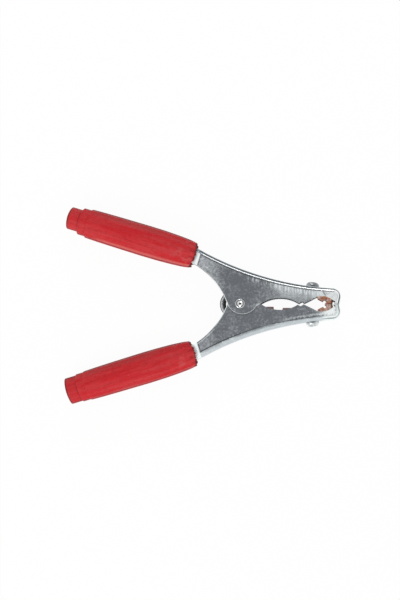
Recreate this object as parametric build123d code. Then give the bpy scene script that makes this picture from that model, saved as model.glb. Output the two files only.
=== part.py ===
from build123d import *
import math
import os

# Battery crocodile clamp (a spring clamp for charger and jump leads), lying on its side.
# Two nested sheet-steel channels turn on one rivet and a torsion spring shuts them.
#
# Frame while modelling: the pivot is the Z axis, +X runs to the nose, +Y to the upper jaw,
# and Z = 0 is the middle of the clamp's thickness. place() then moves every piece so that the
# origin is the middle of the footprint, on the face that the clamp lies on. Millimetres.

# ---- sheet-steel jaws ----
SHEET = 1.4                    # steel thickness
BEND_INNER = 1.4               # inside radius of the folds between web and cheeks
BEND_BEVEL = 0.58              # inside, a bevel of this share stands for the bend's radius
UPPER_HALF_WIDTH = 8.5         # the upper jaw is the outer channel
JAW_SIDE_GAP = 0.15            # running clearance of the lower channel inside the upper one
PARTING_GAP = 0.12             # each nose plate stops this far short of the parting line
NOSE_REACH = 61.5              # pivot to the front of the nose
NOSE_CORNER = 5.2              # outside radius of the nose corner
NOSE_LEAN = 11.5               # degrees that the nose plate leans back at the parting line
WEB_RADIUS = 187.8             # hollow sweep of the web's outer face
WEB_LEVEL_REACH = 67.3         # reach at which that sweep would run level
WEB_LEVEL_HEIGHT = 9.3         # its height above the parting line there
BODY_REAR = 25.2               # the sweep ends this far behind the pivot
HANDLE_ANGLE = 17.0            # degrees between each handle and the parting line
HANDLE_BEND_RADIUS = 30.0      # outside radius where the web turns into the tang
TANG_LENGTH = 62.0
TANG_HEIGHT = 10.0
TANG_HALF_WIDTH = 5.5
JOGGLE_END = 4.2               # the narrowing ends this far ahead of the straight tang
JOGGLE_RUN = 4.1               # length over which it narrows
JOGGLE_STEPS = 3               # flats that make up its double bend
KNEE_START = 4.4               # the cheek's rear edge leaves the tang here
KNEE_RADIUS = 12.0
KNEE_TURN = 17.0
LOBE_RADIUS = 9.8              # rounded ear round the rivet
LOBE_REACH = 1.4
LOBE_RISE = 3.35
LOBE_START = 200.0
LOBE_END = 328.0

# Mating edge of a cheek. The rear gap starts at a reach from the pivot; every other point is
# (distance back from the front of the nose, height above the parting line).
REAR_GAP_START = (12.2, -0.2)
REAR_GAP_CREST = (39.0, 3.65)
UPPER_TOOTH_REAR = (25.4, 0.4)
UPPER_TOOTH_NOTCH = (23.3, 1.55)
UPPER_TOOTH_FRONT = (22.1, 0.45)
LOWER_TOOTH_REAR = (26.2, 0.55)
LOWER_TOOTH_NOTCH = (24.4, 1.45)
LOWER_TOOTH_FRONT = (22.6, 0.35)
FRONT_GAP_SHOULDER = (17.0, 3.0)
FRONT_GAP_CREST = (10.6, 4.7)
FRONT_GAP_END = (5.1, 2.4)
RELIEF_CORNER = (3.2, 1.35)
NOSE_LAND = 4.2                # length of the flat edge where the noses meet

# ---- pivot ----
RIVET_RADIUS = 2.0
PIVOT_FIT = 0.05               # radial clearance of the rivet in the cheeks and the spacer
RIVET_PLAY = 0.05              # end play between a rivet head and the cheek
ROLLED_HEAD_RADIUS = 3.0
ROLLED_HEAD_HEIGHT = 0.85
RIVET_BORE_RADIUS = 1.1        # blind bore of the semi-tubular end
RIVET_BORE_DEPTH = 4.0
BACK_HEAD_RADIUS = 3.8
BACK_HEAD_HEIGHT = 0.95
HEAD_ROUND = 0.3               # bevels that round the rivet's heads
SPACER_RADIUS = 2.5
SPACER_PLAY = 0.1              # at each end of the spacer

# ---- torsion spring ----
WIRE_RADIUS = 1.0
WIRE_SIDES = 8                 # the round wire is drawn with this many sides
COIL_RADIUS = 7.6              # of the wire's centre line
COIL_PITCH = 2.45
COIL_EXTRA_TURNS = 3           # whole turns beside the arc between the two legs
COIL_TO_SPACER = 0.1
LEG_REACH = 19.0               # the legs bear on the webs this far behind the pivot
LEG_SEAT = 0.15                # between a leg and its web
LEG_EASE_RADIUS = 40.0         # where the wire's climb runs out into the flat leg
SEGMENTS_PER_TURN = 2.2

# ---- copper contacts ----
COPPER = 1.0
CONTACT_SEAT = 0.1             # between a contact and its web
CONTACT_SIDE_GAP = 0.2
CONTACT_SETBACK = 2.7          # from the inside of the nose plate to the contact's front
CONTACT_CORNER = 5.1
CONTACT_FOLD = 0.8             # bevel of the pressed folds
CONTACT_PARTING = 0.25
CONTACT_LIP = 0.7              # height of the strip's turned-in lips under its flat
CONTACT_JAW_LENGTH = 14.1      # the toothed cheeks begin this far back from the nose
CONTACT_TOOTH_REAR = (13.9, 3.3)
CONTACT_TOOTH_FIRST = (10.9, 1.7)
CONTACT_TOOTH_NOTCH = (9.7, 2.8)
CONTACT_TOOTH_ROOT = (8.2, 1.4)
CONTACT_TOOTH_LAST = (9.8, 0.25)
UPPER_CONTACT_LENGTH = 25.5    # back from the front of the nose
LOWER_CONTACT_REAR = 13.6      # ahead of the pivot
WIRE_EAR_SPAN = (25.6, 31.3)   # crimp ears for the bare strands, reach from the pivot
WIRE_EAR_EDGE = 2.4            # their edges stand this far from the parting line
SHEATH_EAR_SPAN = (15.6, 21.0)  # crimp ears for the lead's sheath
SHEATH_EAR_EDGE = 1.7
EAR_TAPER = 0.5

# ---- terminal screws ----
SCREW_SETBACK = 17.1           # from the front of the nose
SCREW_RADIUS = 2.0
SCREW_LENGTH = 7.8
SCREW_HOLE_GAP = 0.15
HEAD_RADIUS = 4.0
HEAD_HEIGHT = 3.0
HEAD_SEAT = 0.1
HEAD_EDGE = 1.3                # height of the head's straight rim
HEAD_CROWN = 0.6               # share of the head's radius that is flat on top
RECESS_LENGTH = 4.4
RECESS_WIDTH = 0.9
RECESS_DEPTH = 1.5
RECESS_TURN = 30.0
WASHER_RADIUS = 3.5
WASHER_HEIGHT = 0.9
WASHER_SPLIT = 0.8
NUT_ACROSS_FLATS = 7.0
NUT_HEIGHT = 2.9
NUT_FIT = 0.03
NUT_ROUNDING = 0.45            # chamfer at the nut's corners
STACK_GAP = 0.02

# ---- grip sleeves ----
SLEEVE_START = 3.9             # the mouth lies this far ahead of the straight tang
SLEEVE_LENGTH = 81.4
NECK_LENGTH = 7.4
COLLAR_LENGTH = 5.0
UPPER_NECK = (7.0, 7.7)        # half height in the plan, half width along Z
LOWER_NECK = (8.2, 6.9)
UPPER_COLLAR = (8.45, 8.6)
LOWER_COLLAR = (8.75, 8.6)
GRIP_STATIONS = (12.4, 46.0, 67.0, 81.4)      # distance from the neck's end
GRIP_HALF_HEIGHTS = (9.2, 9.8, 9.55, 8.1)
GRIP_HALF_WIDTHS = (9.3, 9.9, 9.7, 8.1)
RIB_COUNT = 12
RIB_DEPTH = 0.5
RIB_FADE = 0.25                # depth of the flutes at the mouth
RIB_SHARE = 0.55               # share of each pitch that is crest
HALF_THICKNESS = 9.5           # the sleeves end flat here, above and below
SLEEVE_FIT = 0.15              # round the tang
CABLE_RADIUS = 4.5             # bore for the lead

UPPER_TEETH = (UPPER_TOOTH_REAR, UPPER_TOOTH_NOTCH, UPPER_TOOTH_FRONT)
LOWER_TEETH = (LOWER_TOOTH_REAR, LOWER_TOOTH_NOTCH, LOWER_TOOTH_FRONT)
CONTACT_TEETH = (
    CONTACT_TOOTH_REAR, CONTACT_TOOTH_FIRST, CONTACT_TOOTH_NOTCH, CONTACT_TOOTH_ROOT, CONTACT_TOOTH_LAST
)
CRIMP_EARS = ((SHEATH_EAR_SPAN, SHEATH_EAR_EDGE), (WIRE_EAR_SPAN, WIRE_EAR_EDGE))
LOWER_HALF_WIDTH = UPPER_HALF_WIDTH - SHEET - JAW_SIDE_GAP
OUTSIDE = 20.0                 # how far cutting shapes run past the metal
HALF_TURN = 180
MERGE = 1.0                    # how far joined forms run into each other
NEAR = 0.01                    # an edge this close to a line lies on it
SPACING = 0.6                  # of the points that measure the spring
SLAB_WIDTH = 720.0             # of the slab that flattens the sleeves
FAR_BELOW = 90.0

handle_cos = math.cos(math.radians(HANDLE_ANGLE))
handle_sin = math.sin(math.radians(HANDLE_ANGLE))
ALONG = Vector(-handle_cos, handle_sin)       # down the upper handle, away from the nose
OUTWARD = Vector(handle_sin, handle_cos)      # square to it, away from the other handle


def polar(centre, radius, angle):
    """The point at an angle in degrees on a circle in the plan."""
    turn = math.radians(angle)
    return Vector(centre.X + radius * math.cos(turn), centre.Y + radius * math.sin(turn))


def arc_about(centre, radius, start, end):
    """A circular arc about a centre, between two angles in degrees."""
    first, middle, last = (polar(centre, radius, angle) for angle in (start, (start + end) / 2, end))
    return ThreePointArc(first, middle, last)


# Centres of the arcs that shape the web, all for the upper jaw
WEB_CENTRE = Vector(WEB_LEVEL_REACH, WEB_LEVEL_HEIGHT + WEB_RADIUS)
WEB_REAR_ANGLE = math.degrees(math.asin((WEB_LEVEL_REACH + BODY_REAR) / WEB_RADIUS))
BEND_CENTRE = polar(WEB_CENTRE, WEB_RADIUS + HANDLE_BEND_RADIUS, 270 - WEB_REAR_ANGLE)
TANG_START = polar(BEND_CENTRE, HANDLE_BEND_RADIUS, 90 - HANDLE_ANGLE)


def corner_centre(reach, corner):
    """Centre of the arc that joins the web to a nose plate at the given reach."""
    x = reach - corner
    drop = math.sqrt((WEB_RADIUS + corner) ** 2 - (x - WEB_CENTRE.X) ** 2)
    return Vector(x, WEB_CENTRE.Y - drop)


def on_handle(along, out):
    """A point in the upper handle's own directions, from the start of the straight tang."""
    return TANG_START + ALONG * along + OUTWARD * out


def nose_edges(inset, reach, corner):
    """Nose plate and corner, inset into the metal, from below the parting line to the web."""
    centre = corner_centre(reach, corner)
    to_web = math.degrees(math.atan2(WEB_CENTRE.Y - centre.Y, WEB_CENTRE.X - centre.X))
    foot = polar(centre, corner - inset, -NOSE_LEAN)
    fall = foot.Y + OUTSIDE
    bottom = Vector(foot.X - fall * math.tan(math.radians(NOSE_LEAN)), -OUTSIDE)
    return bottom, [Line(bottom, foot), arc_about(centre, corner - inset, -NOSE_LEAN, to_web)], to_web


def web_edges(inset, overrun):
    """Outer line of a jaw from the nose plate to the end of the tang, inset into the metal."""
    bottom, edges, to_web = nose_edges(inset, NOSE_REACH, NOSE_CORNER)
    tang_end = on_handle(TANG_LENGTH + overrun, -inset)
    edges.append(arc_about(WEB_CENTRE, WEB_RADIUS + inset, to_web - HALF_TURN, -90 - WEB_REAR_ANGLE))
    edges.append(arc_about(BEND_CENTRE, HANDLE_BEND_RADIUS - inset, 90 - WEB_REAR_ANGLE, 90 - HANDLE_ANGLE))
    edges.append(Line(on_handle(0, -inset), tang_end))
    return bottom, edges, tang_end


def handle_plane(along):
    """Plane square to the upper handle; X points outward, Z down the handle."""
    return Plane(origin=on_handle(along, 0), x_dir=OUTWARD, z_dir=ALONG)


def fold_edges(block, web):
    """The long edges of a block that run along its web and nose plate."""
    middles = [(edge, edge @ 0.5) for edge in block.edges()]
    return [e for e, m in middles if abs(m.Z) > NEAR and web.distance_to(Vertex(m.X, m.Y, 0)) < NEAR]


def even_block(half_width, inset, overrun):
    """Block of one width from nose to tang, with its folds rounded."""
    bottom, edges, tang_end = web_edges(inset, overrun)
    below = tang_end - OUTWARD * FAR_BELOW
    face = make_face(edges + [Polyline(tang_end, below, bottom)])
    block = extrude(face, amount=half_width, both=True)
    folds = fold_edges(block, Wire(edges))
    if inset:
        return chamfer(folds, BEND_INNER * BEND_BEVEL)
    return fillet(folds, BEND_INNER + SHEET)


def joggle_station(share, half_width, inset):
    """Place along the handle, and half width, of a point on the double bend or inset into it."""
    drop = half_width - TANG_HALF_WIDTH
    slope = math.atan(6 * share * (1 - share) * drop / JOGGLE_RUN)
    outer = half_width - drop * share * share * (3 - 2 * share)
    along = -JOGGLE_END - JOGGLE_RUN * (1 - share)
    return along - inset * math.sin(slope), outer - inset * math.cos(slope)


def channel_block(half_width, inset, overrun):
    """The block inside a channel's outer faces, or inside its inner faces, joggle and all."""
    blocks = []
    sections = []
    for step in range(JOGGLE_STEPS + 1):
        along, width = joggle_station(step / JOGGLE_STEPS, half_width, inset)
        blocks.append(even_block(width, inset, overrun))
        sections.append(section(blocks[-1], section_by=handle_plane(along)))
    start = joggle_station(0, half_width, inset)[0]
    end = joggle_station(1, half_width, inset)[0]
    body = split(blocks[0], bisect_by=handle_plane(start), keep=Keep.BOTTOM)
    tang = split(blocks[-1], bisect_by=handle_plane(end), keep=Keep.TOP)
    for first, second in zip(sections, sections[1:]):
        body = body + loft([first, second], ruled=True)
    return body + tang


def from_nose(spot):
    """A point given as distance back from the front of the nose, and height."""
    return Vector(NOSE_REACH - spot[0], spot[1])


def cheek_edges(teeth):
    """Outline that trims the cheeks: tang edge, rear edge, rivet lobe, gaps, teeth and nose."""
    knee = on_handle(-KNEE_START, -TANG_HEIGHT)
    tail = on_handle(TANG_LENGTH, -TANG_HEIGHT)
    knee_arc = JernArc(start=knee, tangent=-ALONG, radius=KNEE_RADIUS, arc_size=-KNEE_TURN)
    lobe_centre = Vector(LOBE_REACH, LOBE_RISE)
    lobe = arc_about(lobe_centre, LOBE_RADIUS, LOBE_START, LOBE_END)
    shoulder = from_nose(FRONT_GAP_SHOULDER)
    gap_end = from_nose(FRONT_GAP_END)
    land = Vector(NOSE_REACH - NOSE_LAND, PARTING_GAP)
    end = Vector(NOSE_REACH + OUTSIDE, PARTING_GAP)
    top = on_handle(TANG_LENGTH, OUTSIDE)
    tips = [from_nose(spot) for spot in teeth]
    return [
        Line(top, tail),
        Line(tail, knee),
        knee_arc,
        TangentArc(knee_arc @ 1, lobe @ 0, tangent=knee_arc % 1),
        lobe,
        Line(lobe @ 1, REAR_GAP_START),
        ThreePointArc(REAR_GAP_START, from_nose(REAR_GAP_CREST), tips[0]),
        Polyline(*tips, shoulder),
        ThreePointArc(shoulder, from_nose(FRONT_GAP_CREST), gap_end),
        Polyline(gap_end, from_nose(RELIEF_CORNER), land, end, Vector(end.X, top.Y), top),
    ]


def screw_frame():
    """On the web's outer face at the terminal screw, with Z pointing out of the clamp."""
    lean = math.asin((WEB_LEVEL_REACH - NOSE_REACH + SCREW_SETBACK) / WEB_RADIUS)
    origin = polar(WEB_CENTRE, WEB_RADIUS, 270 - math.degrees(lean))
    out = Vector(math.sin(lean), math.cos(lean))
    return Plane(origin=origin, x_dir=(math.cos(lean), -math.sin(lean), 0), z_dir=out)


def screw_hole():
    """Cutter for the terminal screw's clearance hole."""
    hole = Cylinder(SCREW_RADIUS + SCREW_HOLE_GAP, HEAD_HEIGHT * 2)
    return screw_frame() * hole


def jaw_shell(half_width, teeth):
    """One stamped jaw: channel, joggle, tang, nose box, rivet holes and screw hole."""
    shell = channel_block(half_width, 0, 0) - channel_block(half_width, SHEET, OUTSIDE)
    shell = shell & extrude(make_face(cheek_edges(teeth)), amount=half_width + SHEET, both=True)
    shell = shell - Cylinder(RIVET_RADIUS + PIVOT_FIT, OUTSIDE * 2)
    return shell - screw_hole()


def rivet():
    """Semi-tubular rivet: domed back head, shank, and a rolled head with a blind bore."""
    seat = UPPER_HALF_WIDTH + RIVET_PLAY
    front = seat + ROLLED_HEAD_HEIGHT
    back = -seat - BACK_HEAD_HEIGHT
    floor = front - RIVET_BORE_DEPTH
    profile = Polyline(
        (0, back),
        (BACK_HEAD_RADIUS - 2 * HEAD_ROUND, back),
        (BACK_HEAD_RADIUS, -seat),
        (RIVET_RADIUS, -seat),
        (RIVET_RADIUS, seat),
        (ROLLED_HEAD_RADIUS, seat),
        (ROLLED_HEAD_RADIUS - HEAD_ROUND, front),
        (RIVET_BORE_RADIUS, front),
        (RIVET_BORE_RADIUS, floor),
        (0, floor),
        (0, back),
    )
    return revolve(Plane.XZ * make_face(profile), Axis.Z)


def spacer():
    """Tube on the rivet that keeps the lower channel's cheeks apart."""
    length = 2 * (LOWER_HALF_WIDTH - SHEET - SPACER_PLAY)
    return Cylinder(SPACER_RADIUS, length) - Cylinder(RIVET_RADIUS + PIVOT_FIT, length * 2)


def biarc(start, start_way, end, end_way):
    """Two tangent arcs that leave start along start_way and reach end along end_way."""
    gap = end - start
    ways = start_way + end_way
    spare = 4 - ways.dot(ways)
    pull = gap.dot(ways)
    reach = (math.sqrt(pull * pull + spare * gap.dot(gap)) - pull) / spare
    joint = (start + start_way * reach + end - end_way * reach) * 0.5
    joint_way = end - end_way * reach - start - start_way * reach
    return [TangentArc(start, joint, tangent=start_way), TangentArc(joint, end, tangent=joint_way)]


def spring_path():
    """Leg, coil and leg of the torsion spring, as lines and tangent arcs."""
    centre = Vector(SPACER_RADIUS + COIL_TO_SPACER + WIRE_RADIUS - COIL_RADIUS, 0)
    seat_radius = WEB_RADIUS + SHEET + LEG_SEAT + WIRE_RADIUS
    drop = math.sqrt(seat_radius ** 2 - (WEB_CENTRE.X + LEG_REACH) ** 2)
    tip = Vector(-LEG_REACH, WEB_CENTRE.Y - drop)
    span = tip - centre
    leaving = math.atan2(span.Y, span.X) - math.acos(COIL_RADIUS / span.length)
    sweep = 2 * leaving + 2 * math.pi * COIL_EXTRA_TURNS
    climb = COIL_PITCH / (2 * math.pi)
    slope = math.atan(climb / COIL_RADIUS)
    steps = round(sweep / (2 * math.pi) * SEGMENTS_PER_TURN)

    def at(step):
        turned = sweep * step / steps
        angle = leaving - turned
        rise = climb * (sweep / 2 - turned)
        return Vector(
            centre.X + COIL_RADIUS * math.cos(angle), centre.Y + COIL_RADIUS * math.sin(angle), rise
        )

    def way(step):
        angle = leaving - sweep * step / steps
        flat = math.cos(slope)
        return Vector(flat * math.sin(angle), -flat * math.cos(angle), -math.sin(slope))

    coil = []
    for step in range(steps):
        coil += biarc(at(step), way(step), at(step + 1), way(step + 1))

    ease = LEG_EASE_RADIUS * math.sin(slope)
    lift = LEG_EASE_RADIUS * (1 - math.cos(slope))
    leg_length = math.sqrt(span.length ** 2 - COIL_RADIUS ** 2)
    first_flat = Vector(-math.sin(leaving), math.cos(leaving))
    last_flat = Vector(-math.sin(leaving), -math.cos(leaving))
    first_bend = at(0) + first_flat * ease + Vector(0, 0, lift)
    last_bend = at(steps) + last_flat * ease - Vector(0, 0, lift)
    first_leg = Line(first_bend + first_flat * (leg_length - ease), first_bend)
    first_ease = TangentArc(first_bend, at(0), tangent=-first_flat)
    last_ease = TangentArc(at(steps), last_bend, tangent=way(steps))
    last_leg = Line(last_bend, last_bend + last_flat * (leg_length - ease))
    return [first_leg, first_ease] + coil + [last_ease, last_leg]


def least_gap(edges, spacing):
    """Least clear distance of the wire to itself, beyond half a turn along it."""
    points = []
    for edge in edges:
        count = max(2, round(edge.length / spacing))
        points += [tuple(edge @ (i / count)) for i in range(count)]
    skip = round(math.pi * COIL_RADIUS / spacing)
    nearest = min(
        math.dist(points[i], points[j]) for i in range(len(points)) for j in range(i + skip, len(points))
    )
    return nearest - 2 * WIRE_RADIUS


def torsion_spring():
    """One unbroken round wire swept along the spring's path."""
    edges = spring_path()
    path = Wire(edges)
    section = Plane(origin=path @ 0, z_dir=path % 0) * RegularPolygon(WIRE_RADIUS, WIRE_SIDES)
    print("torsion spring: least gap to itself %.2f mm" % least_gap(edges, SPACING))
    return sweep(section, path=path)


CONTACT_DEPTH = SHEET + CONTACT_SEAT          # of a contact's outer face under the web's


def contact_block(half_width, inset, rear):
    """Block under the web that is bounded by a contact's outer or inner faces."""
    reach = NOSE_REACH - CONTACT_SETBACK + CONTACT_SEAT
    bottom, edges, to_web = nose_edges(inset, reach, CONTACT_CORNER)
    rear_angle = -90 - math.degrees(math.asin((WEB_LEVEL_REACH - rear) / WEB_RADIUS))
    edges.append(arc_about(WEB_CENTRE, WEB_RADIUS + inset, to_web - HALF_TURN, rear_angle))
    tail = polar(WEB_CENTRE, WEB_RADIUS + inset, rear_angle)
    face = make_face(edges + [Polyline(tail, (tail.X, -OUTSIDE), bottom)])
    block = extrude(face, amount=half_width, both=True)
    return chamfer(fold_edges(block, Wire(edges)), CONTACT_FOLD)


def under_web(reach, depth):
    """The point at a reach from the pivot, at a depth under the web's outer face."""
    angle = 270 - math.degrees(math.asin((WEB_LEVEL_REACH - reach) / WEB_RADIUS))
    return polar(WEB_CENTRE, WEB_RADIUS + depth, angle)


def contact_outline(rear, ears):
    """Trims a contact: toothed cheeks in front, a lipped strip behind, and any crimp ears."""
    depth = CONTACT_DEPTH + COPPER + CONTACT_LIP

    def strip(start, end):
        middle = (start + end) / 2
        return ThreePointArc(under_web(start, depth), under_web(middle, depth), under_web(end, depth))

    edges = []
    at = rear
    for (start, end), edge in ears:
        first, last = under_web(start, depth), under_web(end, depth)
        edges.append(strip(at, start))
        edges.append(Polyline(first, (start + EAR_TAPER, edge), (end - EAR_TAPER, edge), last))
        at = end
    cheeks = NOSE_REACH - CONTACT_JAW_LENGTH
    edges.append(strip(at, cheeks))
    teeth = [from_nose(spot) for spot in CONTACT_TEETH]
    front = Vector(NOSE_REACH, CONTACT_PARTING)
    top = Vector(NOSE_REACH, OUTSIDE * 2)
    back = under_web(rear, depth)
    edges.append(Polyline(under_web(cheeks, depth), *teeth, front, top, Vector(back.X, top.Y), back))
    return edges


def contact(jaw_half_width, rear, ears):
    """Copper contact: a folded strip under the web that ends in toothed cheeks."""
    half = jaw_half_width - SHEET - CONTACT_SIDE_GAP
    hollow = contact_block(half - COPPER, CONTACT_DEPTH + COPPER, rear - OUTSIDE)
    piece = contact_block(half, CONTACT_DEPTH, rear) - hollow
    piece = piece & extrude(make_face(contact_outline(rear, ears)), amount=jaw_half_width, both=True)
    return piece - screw_hole()


def terminal_screw():
    """Pan-head screw with a cross recess, in its own frame."""
    top = HEAD_SEAT + HEAD_HEIGHT
    profile = Polyline(
        (0, -SCREW_LENGTH),
        (SCREW_RADIUS, -SCREW_LENGTH),
        (SCREW_RADIUS, HEAD_SEAT),
        (HEAD_RADIUS, HEAD_SEAT),
        (HEAD_RADIUS, HEAD_SEAT + HEAD_EDGE),
        (HEAD_RADIUS * HEAD_CROWN, top),
        (0, top),
        (0, -SCREW_LENGTH),
    )
    screw = revolve(Plane.XZ * make_face(profile), Axis.Z)
    slot = Box(RECESS_LENGTH, RECESS_WIDTH, RECESS_DEPTH * 2)
    recess = slot + Rot(0, 0, 90) * slot
    return screw - Pos(0, 0, top) * Rot(0, 0, RECESS_TURN) * recess


def washer_top():
    """Level of the lock washer's upper face, under the contact."""
    return -(CONTACT_DEPTH + COPPER + STACK_GAP)


def lock_washer():
    """Split spring washer under the contact."""
    bore = Cylinder(SCREW_RADIUS + SCREW_HOLE_GAP, WASHER_HEIGHT * 2)
    split = Pos(WASHER_RADIUS, 0, 0) * Box(WASHER_RADIUS * 2, WASHER_SPLIT, WASHER_HEIGHT * 2)
    ring = Cylinder(WASHER_RADIUS, WASHER_HEIGHT) - bore - split
    return Pos(0, 0, washer_top() - STACK_GAP - WASHER_HEIGHT / 2) * ring


def terminal_nut():
    """Hexagon nut, its corners rounded off at the face away from the web."""
    blank = extrude(RegularPolygon(NUT_ACROSS_FLATS / 2, 6, major_radius=False), NUT_HEIGHT)
    round_off = Pos(0, 0, NUT_HEIGHT / 2) * Cylinder(NUT_ACROSS_FLATS / math.sqrt(3), NUT_HEIGHT)
    rim = round_off.edges().filter_by(GeomType.CIRCLE).sort_by(Axis.Z)[0]
    nut = (blank & chamfer(rim, NUT_ROUNDING)) - Cylinder(SCREW_RADIUS + NUT_FIT, OUTSIDE)
    return Pos(0, 0, washer_top() - 2 * STACK_GAP - WASHER_HEIGHT - NUT_HEIGHT) * nut


def sleeve_plane(from_neck):
    """Cross-section plane of the upper sleeve; X points outward, Z down the handle."""
    along = SLEEVE_LENGTH - SLEEVE_START - from_neck
    return Plane(origin=on_handle(along, -TANG_HEIGHT / 2), x_dir=OUTWARD, z_dir=ALONG)


def ribbed_section(half_height, half_width, depth):
    """Oval outline with evenly spaced flat crests, and hollow flutes between them."""
    pitch = 2 * math.pi / RIB_COUNT

    def at(turns, sink):
        angle = turns * pitch
        return Vector((half_height - sink) * math.cos(angle), (half_width - sink) * math.sin(angle))

    spots = []
    for rib in range(RIB_COUNT):
        spots += [at(rib - RIB_SHARE / 2, 0), at(rib + RIB_SHARE / 2, 0), at(rib + 1 / 2, depth)]
    return make_face(Polyline(*spots, close=True))


def grip_sleeve(neck, collar):
    """Moulded vinyl sleeve: cable neck, collar, fluted grip, tang cavity and cable bore."""
    sections = []
    for from_neck, half_height, half_width in zip(GRIP_STATIONS, GRIP_HALF_HEIGHTS, GRIP_HALF_WIDTHS):
        depth = RIB_FADE if from_neck == GRIP_STATIONS[-1] else RIB_DEPTH
        sections.append(sleeve_plane(from_neck) * ribbed_section(half_height, half_width, depth))
    sleeve = loft(sections, ruled=True)
    grip_start = NECK_LENGTH + COLLAR_LENGTH
    collar_base = sleeve_plane(grip_start + MERGE) * Ellipse(*collar)
    neck_base = sleeve_plane(NECK_LENGTH + MERGE) * Ellipse(*neck)
    sleeve = sleeve + extrude(collar_base, amount=COLLAR_LENGTH + MERGE, dir=ALONG)
    sleeve = sleeve + extrude(neck_base, amount=NECK_LENGTH + MERGE, dir=ALONG)
    slab = Box(SLAB_WIDTH, SLAB_WIDTH, 2 * HALF_THICKNESS)
    sleeve = sleeve & slab
    tang_stop = SLEEVE_LENGTH - SLEEVE_START - TANG_LENGTH - SLEEVE_FIT
    cavity_mouth = sleeve_plane(SLEEVE_LENGTH + OUTSIDE)
    height = TANG_HEIGHT + 2 * SLEEVE_FIT
    width = 2 * (TANG_HALF_WIDTH + SLEEVE_FIT)
    cavity = cavity_mouth * Rectangle(height, width)
    depth = SLEEVE_LENGTH + OUTSIDE - tang_stop
    sleeve = sleeve - extrude(cavity, amount=depth, dir=ALONG)
    bore = sleeve_plane(SLEEVE_LENGTH / 2) * Circle(CABLE_RADIUS)
    return sleeve - extrude(bore, amount=SLEEVE_LENGTH, dir=ALONG)


def lower(shape):
    """The lower jaw's pieces are the upper jaw's, mirrored in the parting plane."""
    return mirror(shape, about=Plane.XZ)


def footprint_middle():
    """Reach of the middle between the nose and the rearmost corner of the necks."""
    neck_end = sleeve_plane(0).origin
    rear = min(neck_end.X - neck[0] * handle_sin for neck in (UPPER_NECK, LOWER_NECK))
    return (NOSE_REACH + rear) / 2


def place(shape):
    """From the pivot's frame to the clamp's own origin."""
    return Pos(-footprint_middle(), 0, HALF_THICKNESS) * shape


def on_screw(shape):
    """From a fastener's own frame to its place on the upper web."""
    return screw_frame() * shape


PIECES = {
    "upper_jaw_shell": lambda: jaw_shell(UPPER_HALF_WIDTH, UPPER_TEETH),
    "lower_jaw_shell": lambda: lower(jaw_shell(LOWER_HALF_WIDTH, LOWER_TEETH)),
    "pivot_rivet": rivet,
    "pivot_spacer": spacer,
    "torsion_spring": torsion_spring,
    "upper_contact": lambda: contact(UPPER_HALF_WIDTH, NOSE_REACH - UPPER_CONTACT_LENGTH, ()),
    "lower_contact": lambda: lower(contact(LOWER_HALF_WIDTH, LOWER_CONTACT_REAR, CRIMP_EARS)),
    "upper_terminal_screw": lambda: on_screw(terminal_screw()),
    "lower_terminal_screw": lambda: lower(on_screw(terminal_screw())),
    "upper_lock_washer": lambda: on_screw(lock_washer()),
    "lower_lock_washer": lambda: lower(on_screw(lock_washer())),
    "upper_terminal_nut": lambda: on_screw(terminal_nut()),
    "lower_terminal_nut": lambda: lower(on_screw(terminal_nut())),
    "upper_grip_sleeve": lambda: grip_sleeve(UPPER_NECK, UPPER_COLLAR),
    "lower_grip_sleeve": lambda: lower(grip_sleeve(LOWER_NECK, LOWER_COLLAR)),
}

os.makedirs("parts", exist_ok=True)
for name, make in PIECES.items():
    export_step(place(make()), f"parts/{name}.step")
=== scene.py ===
"""Looks for the spring clamp: materials, detailed small parts, vinyl sleeves, studio and camera.

Lengths are millimetres from the pivot, with X towards the nose and Y towards the upper web,
unless a comment says otherwise. Texture scales are per metre, and bumps, lamps and the floor are
in metres.
"""
import math

import bmesh
import bpy
from mathutils import Matrix, Vector, noise


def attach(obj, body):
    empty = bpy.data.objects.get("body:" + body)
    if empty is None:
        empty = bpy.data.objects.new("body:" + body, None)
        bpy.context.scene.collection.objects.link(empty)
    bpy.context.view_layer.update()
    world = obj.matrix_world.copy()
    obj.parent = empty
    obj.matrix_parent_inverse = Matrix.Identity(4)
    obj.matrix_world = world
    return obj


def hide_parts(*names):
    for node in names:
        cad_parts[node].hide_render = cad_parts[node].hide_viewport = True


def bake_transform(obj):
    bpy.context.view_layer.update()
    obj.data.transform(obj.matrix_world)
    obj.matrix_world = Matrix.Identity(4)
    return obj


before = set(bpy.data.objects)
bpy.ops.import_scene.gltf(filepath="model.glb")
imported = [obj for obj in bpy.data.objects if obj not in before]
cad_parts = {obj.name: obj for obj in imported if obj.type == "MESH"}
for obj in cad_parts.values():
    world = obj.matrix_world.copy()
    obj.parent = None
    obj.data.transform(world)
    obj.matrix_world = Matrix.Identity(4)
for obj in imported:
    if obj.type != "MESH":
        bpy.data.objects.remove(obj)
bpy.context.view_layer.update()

MM = 0.001
PIVOT = Vector((0.0238391, 0.0, 0.0095))            # in metres, from the frame's origin
HALF_THICKNESS = 9.45                               # the widest that a sleeve may be
SHEET = 1.4                                         # gauge of the jaws
WEB_RADIUS = 187.8                                  # outer face of a web, an arc round WEB_CENTRE
WEB_CENTRE = Vector((67.3, 197.1, 0.0))
NOSE_CENTRE = (56.3, 4.41)                          # centre of the arc from the web to the nose
NOSE_CORNER = 5.2                                   # and its radius
NOSE_LEAN = math.radians(11.5)
REAR_EDGE = (-54.86, -17.86, 50.33)                 # centre and radius of the rear cut edge
LOBE = (1.4, 3.35, 9.8)                             # centre and radius of the ear at the rivet
HANDLE_ANGLE = math.radians(17.0)
TANG_START = Vector((-31.20521, 36.24067, 0.0))     # on the outer face of the tang
TANG_HALF_HEIGHT = 5.0
TANG_LENGTH = 62.0


def spot(x, y, z=0.0):
    """A place given in millimetres from the pivot."""
    return PIVOT + Vector((x, y, z)) * MM


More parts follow.
